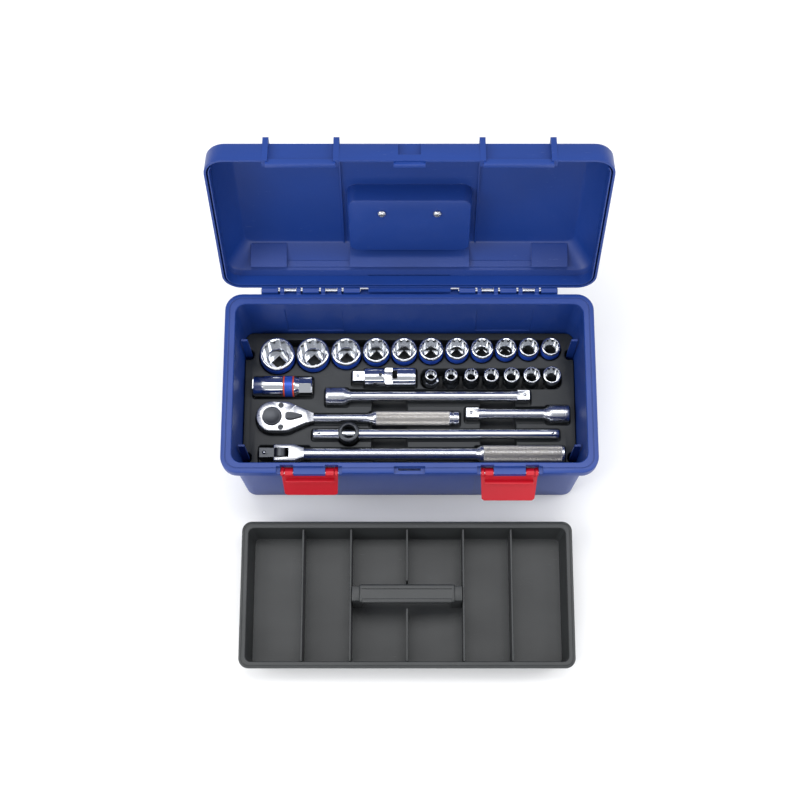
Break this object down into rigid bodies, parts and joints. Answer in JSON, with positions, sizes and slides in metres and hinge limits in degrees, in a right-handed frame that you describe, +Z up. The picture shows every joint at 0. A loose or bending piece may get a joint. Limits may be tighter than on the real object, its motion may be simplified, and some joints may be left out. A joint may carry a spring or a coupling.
{
  "type": "socket wrench set in case",
  "caption": "Hinged blue plastic tool case with red latches, a black insert of sockets, ratchet, bars and extensions, and a grey divided lift-out tray standing in front.",
  "frame": {"origin": "centre of the underside of the case", "axes": "+Z up, +X along the case to the right seen from the front, -Y towards the front, where the latches and the tray are"},
  "size_m": [0.441, 0.5324, 0.3727],
  "materials": {
    "blue_plastic": "deep blue moulded polypropylene, fine satin grain",
    "red_plastic": "red moulded nylon",
    "black_plastic": "charcoal black moulded tray plastic",
    "grey_plastic": "dark grey moulded plastic, satin",
    "zinc_steel": "bright zinc-plated steel",
    "polished_chrome": "polished chrome plate",
    "satin_chrome": "satin chrome plate",
    "black_oxide_steel": "black oxide steel",
    "blue_band": "blue marking band",
    "rubber": "soft black rubber"
  },
  "bodies": {
    "case": {"case_body": "blue_plastic", "hinge_pin_left": "zinc_steel", "hinge_pin_right": "zinc_steel", "latch_pin_left": "zinc_steel", "latch_pin_right": "zinc_steel"},
    "lid": {"case_lid": "blue_plastic", "handle_bracket": "black_plastic", "handle_screw_left": "zinc_steel", "handle_screw_right": "zinc_steel"},
    "carry_handle": {"carry_handle": "blue_plastic"},
    "latch_left": {"latch_left": "red_plastic"},
    "latch_right": {"latch_right": "red_plastic"},
    "insert": {"tool_insert": "black_plastic"},
    "lift_out_tray": {"lift_out_tray": "grey_plastic", "lift_out_tray_handle": "grey_plastic"},
    "socket_32mm": {"socket_32mm": "polished_chrome"},
    "socket_30mm": {"socket_30mm": "polished_chrome"},
    "socket_27mm": {"socket_27mm": "polished_chrome"},
    "socket_24mm": {"socket_24mm": "polished_chrome"},
    "socket_23mm": {"socket_23mm": "polished_chrome"},
    "socket_22mm": {"socket_22mm": "polished_chrome"},
    "socket_21mm": {"socket_21mm": "polished_chrome"},
    "socket_20mm": {"socket_20mm": "polished_chrome"},
    "socket_19mm": {"socket_19mm": "polished_chrome"},
    "socket_18mm": {"socket_18mm": "polished_chrome"},
    "socket_17mm": {"socket_17mm": "polished_chrome"},
    "socket_10mm": {"socket_10mm": "polished_chrome"},
    "socket_11mm": {"socket_11mm": "polished_chrome"},
    "socket_12mm": {"socket_12mm": "polished_chrome"},
    "socket_13mm": {"socket_13mm": "polished_chrome"},
    "socket_14mm": {"socket_14mm": "polished_chrome"},
    "socket_15mm": {"socket_15mm": "polished_chrome"},
    "socket_16mm": {"socket_16mm": "polished_chrome"},
    "spark_plug_socket": {"spark_plug_socket": "polished_chrome", "spark_plug_socket_band": "blue_band", "spark_plug_rubber_grip": "rubber"},
    "universal_joint": {"universal_joint_drive_yoke": "polished_chrome", "universal_joint_cross_block": "polished_chrome", "universal_joint_upright_pin": "black_oxide_steel", "universal_joint_cross_pin": "black_oxide_steel"},
    "universal_joint_socket_end": {"universal_joint_socket_yoke": "polished_chrome"},
    "long_extension": {"long_extension": "satin_chrome", "long_extension_ball": "satin_chrome"},
    "short_extension": {"short_extension": "satin_chrome", "short_extension_ball": "satin_chrome"},
    "ratchet": {"ratchet_body": "satin_chrome", "ratchet_cover_plate": "black_oxide_steel", "ratchet_screw_rear": "black_oxide_steel", "ratchet_screw_front": "black_oxide_steel"},
    "ratchet_drive": {"ratchet_drive_gear": "black_oxide_steel"},
    "ratchet_lever": {"ratchet_lever": "black_oxide_steel", "ratchet_pawl": "black_oxide_steel"},
    "sliding_t_bar": {"sliding_t_bar": "polished_chrome", "sliding_t_head": "black_oxide_steel", "sliding_t_bar_ball_left": "satin_chrome", "sliding_t_bar_ball_right": "satin_chrome"},
    "flex_handle": {"flex_handle": "satin_chrome", "flex_head_pin": "black_oxide_steel"},
    "flex_head": {"flex_head": "black_oxide_steel", "flex_head_ball": "satin_chrome"}
  },
  "joints": [
    {"name": "lid_hinge", "type": "hinge", "parent": "case", "child": "lid", "pos_m": [0, 0.1155, 0.15], "axis": [-1, 0, 0], "range_deg": [-103.2, 0]},
    {"name": "carry_handle_swing", "type": "hinge", "parent": "lid", "child": "carry_handle", "pos_m": [0, 0.1782, 0.25136], "axis": [1, 0, 0], "range_deg": [-13.2, 86.8]},
    {"name": "latch_left_swing", "type": "hinge", "parent": "case", "child": "latch_left", "pos_m": [-0.116, -0.1085, 0.1415], "axis": [1, 0, 0], "range_deg": [-157, 0]},
    {"name": "latch_right_swing", "type": "hinge", "parent": "case", "child": "latch_right", "pos_m": [0.116, -0.1085, 0.1415], "axis": [1, 0, 0], "range_deg": [-146.5, 10.5]},
    {"name": "insert_lift", "type": "slide", "parent": "case", "child": "insert", "axis": [0, 0, 1], "range_m": [0, 0.2]},
    {"name": "lift_out_tray_lift", "type": "slide", "parent": "case", "child": "lift_out_tray", "axis": [0, 0, 1], "range_m": [0, 0.2]},
    {"name": "socket_32mm_lift", "type": "slide", "parent": "insert", "child": "socket_32mm", "axis": [0, 0, 1], "range_m": [0, 0.15]},
    {"name": "socket_30mm_lift", "type": "slide", "parent": "insert", "child": "socket_30mm", "axis": [0, 0, 1], "range_m": [0, 0.15]},
    {"name": "socket_27mm_lift", "type": "slide", "parent": "insert", "child": "socket_27mm", "axis": [0, 0, 1], "range_m": [0, 0.15]},
    {"name": "socket_24mm_lift", "type": "slide", "parent": "insert", "child": "socket_24mm", "axis": [0, 0, 1], "range_m": [0, 0.15]},
    {"name": "socket_23mm_lift", "type": "slide", "parent": "insert", "child": "socket_23mm", "axis": [0, 0, 1], "range_m": [0, 0.15]},
    {"name": "socket_22mm_lift", "type": "slide", "parent": "insert", "child": "socket_22mm", "axis": [0, 0, 1], "range_m": [0, 0.15]},
    {"name": "socket_21mm_lift", "type": "slide", "parent": "insert", "child": "socket_21mm", "axis": [0, 0, 1], "range_m": [0, 0.15]},
    {"name": "socket_20mm_lift", "type": "slide", "parent": "insert", "child": "socket_20mm", "axis": [0, 0, 1], "range_m": [0, 0.15]},
    {"name": "socket_19mm_lift", "type": "slide", "parent": "insert", "child": "socket_19mm", "axis": [0, 0, 1], "range_m": [0, 0.15]},
    {"name": "socket_18mm_lift", "type": "slide", "parent": "insert", "child": "socket_18mm", "axis": [0, 0, 1], "range_m": [0, 0.15]},
    {"name": "socket_17mm_lift", "type": "slide", "parent": "insert", "child": "socket_17mm", "axis": [0, 0, 1], "range_m": [0, 0.15]},
    {"name": "socket_10mm_lift", "type": "slide", "parent": "insert", "child": "socket_10mm", "axis": [0, 0, 1], "range_m": [0, 0.15]},
    {"name": "socket_11mm_lift", "type": "slide", "parent": "insert", "child": "socket_11mm", "axis": [0, 0, 1], "range_m": [0, 0.15]},
    {"name": "socket_12mm_lift", "type": "slide", "parent": "insert", "child": "socket_12mm", "axis": [0, 0, 1], "range_m": [0, 0.15]},
    {"name": "socket_13mm_lift", "type": "slide", "parent": "insert", "child": "socket_13mm", "axis": [0, 0, 1], "range_m": [0, 0.15]},
    {"name": "socket_14mm_lift", "type": "slide", "parent": "insert", "child": "socket_14mm", "axis": [0, 0, 1], "range_m": [0, 0.15]},
    {"name": "socket_15mm_lift", "type": "slide", "parent": "insert", "child": "socket_15mm", "axis": [0, 0, 1], "range_m": [0, 0.15]},
    {"name": "socket_16mm_lift", "type": "slide", "parent": "insert", "child": "socket_16mm", "axis": [0, 0, 1], "range_m": [0, 0.15]},
    {"name": "spark_plug_socket_lift", "type": "slide", "parent": "insert", "child": "spark_plug_socket", "axis": [0, 0, 1], "range_m": [0, 0.15]},
    {"name": "universal_joint_lift", "type": "slide", "parent": "insert", "child": "universal_joint", "axis": [0, 0, 1], "range_m": [0, 0.15]},
    {"name": "universal_joint_bend", "type": "hinge", "parent": "universal_joint", "child": "universal_joint_socket_end", "pos_m": [-0.026, 0.035, 0.068], "axis": [0, -1, 0], "range_deg": [0, 40]},
    {"name": "long_extension_lift", "type": "slide", "parent": "insert", "child": "long_extension", "axis": [0, 0, 1], "range_m": [0, 0.15]},
    {"name": "short_extension_lift", "type": "slide", "parent": "insert", "child": "short_extension", "axis": [0, 0, 1], "range_m": [0, 0.15]},
    {"name": "ratchet_lift", "type": "slide", "parent": "insert", "child": "ratchet", "axis": [0, 0, 1], "range_m": [0, 0.15]},
    {"name": "ratchet_drive_spin", "type": "hinge", "parent": "ratchet", "child": "ratchet_drive", "pos_m": [-0.1674, -0.0178, 0.068], "axis": [0, 0, 1], "continuous": true},
    {"name": "ratchet_lever_swing", "type": "hinge", "parent": "ratchet", "child": "ratchet_lever", "pos_m": [-0.1464, -0.0178, 0.077], "axis": [0, 0, 1], "range_deg": [-8, 8]},
    {"name": "sliding_t_bar_lift", "type": "slide", "parent": "insert", "child": "sliding_t_bar", "axis": [0, 0, 1], "range_m": [0, 0.15]},
    {"name": "flex_handle_lift", "type": "slide", "parent": "insert", "child": "flex_handle", "axis": [0, 0, 1], "range_m": [0, 0.15]},
    {"name": "flex_head_tilt", "type": "hinge", "parent": "flex_handle", "child": "flex_head", "pos_m": [-0.1575, -0.0632, 0.068], "axis": [0, 1, 0], "range_deg": [0, 105]}
  ]
}
